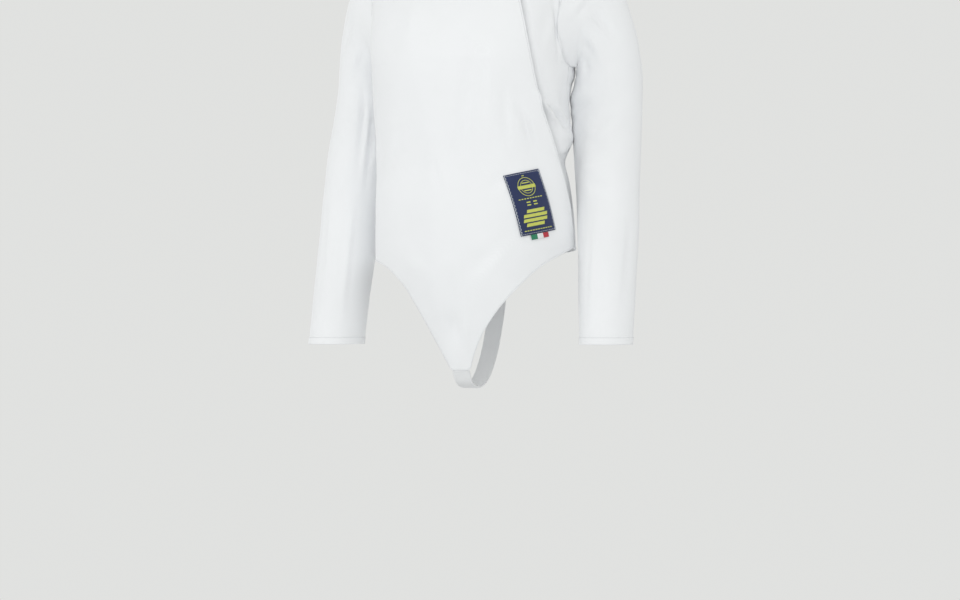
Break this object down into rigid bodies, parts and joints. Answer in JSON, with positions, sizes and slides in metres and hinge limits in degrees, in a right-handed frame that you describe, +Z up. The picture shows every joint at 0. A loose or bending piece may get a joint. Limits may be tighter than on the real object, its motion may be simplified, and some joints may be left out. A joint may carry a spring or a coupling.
{
  "type": "fencing jacket",
  "caption": "White fencing jacket as worn: asymmetric closed front over a left side, standing collar, long open sleeves, front tongue and crotch strap.",
  "frame": {"origin": "midway between the two shoulder tips, where the wearer's shoulders hold the jacket up", "axes": "+Z up; the front faces -Y; the wearer's left is +X"},
  "size_m": [0.539, 0.2569, 0.7642],
  "materials": {
    "white_cotton": "matt white twill cotton with a fine diagonal weave",
    "zip_tape": "white woven zip tape with its teeth closed",
    "white_elastic": "white ribbed elastic webbing",
    "navy_label": null,
    "ribbon": "folded satin ribbon in green, white and red"
  },
  "bodies": {
    "root": {"front_panel": "white_cotton", "left_side_panel": "white_cotton", "back_panel": "white_cotton", "sleeve_left": "white_cotton", "sleeve_right": "white_cotton", "collar": "white_cotton", "zip_strip": "zip_tape", "crotch_strap": "white_elastic", "label_patch": "navy_label", "ribbon_tab": "ribbon"}
  },
  "joints": []
}
